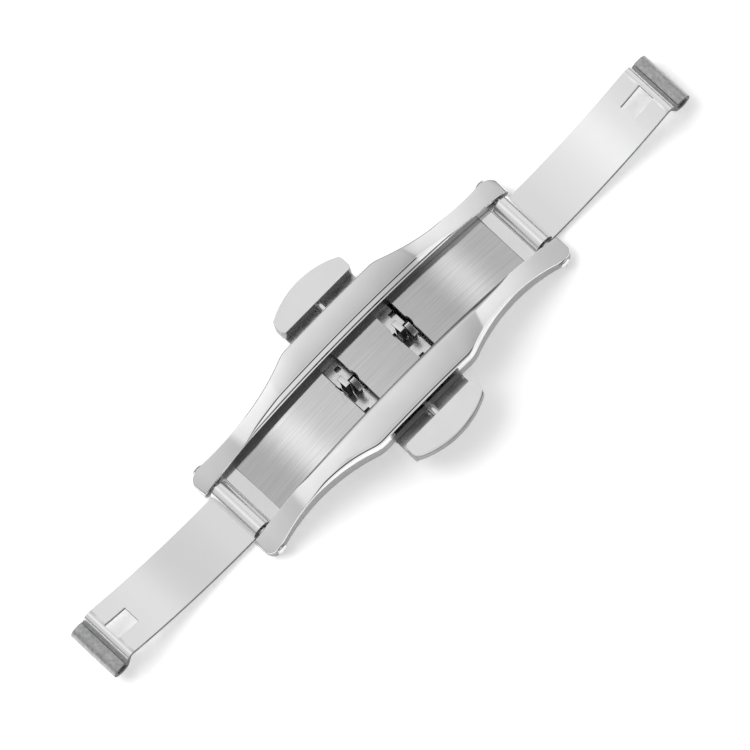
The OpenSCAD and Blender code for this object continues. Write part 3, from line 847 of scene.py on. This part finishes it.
# %% Light tent: the cloth, the flag over it, the strip over both and the dark below
where = sky_node("TexCoord").outputs["Generated"]
axes = sky_node("SeparateXYZ", [(0, where)]).outputs
leaning = sky_node("VectorMath", [(0, where), (1, (1, LEAN, 0))], operation="DOT_PRODUCT")
along, across = curve(leaning.outputs["Value"], ALONG), curve(axes["Y"], ACROSS)
cloth = sky_node("VectorMath", [(0, along), (1, across)], operation="MULTIPLY")
flag_x, flag_y = curve(axes["X"], FLAG_X), curve(axes["Y"], FLAG_Y)
shade = sky_node("Math", [(0, flag_x), (1, flag_y)], operation="MULTIPLY").outputs[0]
flagged = sky_node(
    "Mix", [(0, shade), (6, cloth.outputs[0]), (7, grey(FLAG_GREY))], data_type="RGBA"
)
strip, strip_edges = curve(axes["X"], STRIP), curve(axes["Y"], STRIP_EDGES)
striped = sky_node(
    "Mix", [(0, strip_edges), (6, flagged.outputs[2]), (7, strip)], data_type="RGBA"
)
upward = curve(axes["Z"], UPWARD)
tent = sky_node("VectorMath", [(0, striped.outputs[2]), (1, upward)], operation="MULTIPLY")
glow = sky_node("Background", [(0, tent.outputs[0]), (1, 1.0)])
sky_node("OutputWorld", [(0, glow.outputs[0])])
print("tent nodes:", len(sky.nodes))

# %% Soft lamp from behind, which lays the shadow on the near side
LAMP_SIZE, LAMP_POWER, LAMP_PLACE = 0.5, 3.0, (-0.25, 0.35, 0.6)
lamp = bpy.data.lights.new("softbox", "AREA")
lamp.shape = "RECTANGLE"
lamp.size = LAMP_SIZE
lamp.size_y = LAMP_SIZE
lamp.energy = LAMP_POWER
softbox = bpy.data.objects.new("softbox", lamp)
bpy.context.scene.collection.objects.link(softbox)
softbox.location = LAMP_PLACE
softbox.rotation_euler = (-softbox.location).to_track_quat("-Z", "Y").to_euler()
softbox.visible_glossy = False
print("softbox at", [round(v, 2) for v in softbox.location])

# %% [markdown]
# ## Camera
# The view was worked out from the pins, blades and buttons in the photograph: nearly straight
# down, tipped 15 degrees towards the front button and 8 towards the left blade, and rolled so
# that the clasp lies from the lower left to the upper right. The camera stands far away with
# a long lens, so that parallel edges stay parallel.

# %% Camera
PICTURE, PX_PER_MM, FAR_PX = 750, 9.5, 1 / 5.3e-5
CENTRE_X, CENTRE_Y = 381.389, 366.712  # where the middle of the clasp falls in the picture
TARGET_Z, SENSOR = 1.3, 36
TURN_Z, TURN_X, TURN_Y = 0.03099, -0.25652, 0.13601
ROLL = math.radians(45.5)
turn = (
    Matrix.Rotation(TURN_Z, 3, "Z")
    @ Matrix.Rotation(TURN_X, 3, "X")
    @ Matrix.Rotation(TURN_Y, 3, "Y")
)
back = turn.transposed()
c, s = math.cos(ROLL), math.sin(ROLL)
right, up, away = (back @ Vector(v) for v in ((c, -s, 0), (s, c, 0), (0, 0, 1)))
camera_data = bpy.data.cameras.new("camera")
camera = bpy.data.objects.new("camera", camera_data)
bpy.context.scene.collection.objects.link(camera)
target = Vector((0, 0, TARGET_Z * MM))
stand = Matrix.Translation(target + away * FAR_PX / PX_PER_MM * MM)
camera.matrix_world = stand @ Matrix((right, up, away)).transposed().to_4x4()
camera_data.sensor_width = SENSOR
camera_data.lens = SENSOR * FAR_PX / PICTURE
camera_data.shift_x = (PICTURE / 2 - CENTRE_X) / PICTURE
camera_data.shift_y = (CENTRE_Y - PICTURE / 2) / PICTURE
camera_data.clip_start = 0.01
camera_data.clip_end = 100
bpy.context.scene.camera = camera
bpy.context.scene.view_settings.view_transform = "Standard"
print("camera at", [round(v, 3) for v in camera.location])
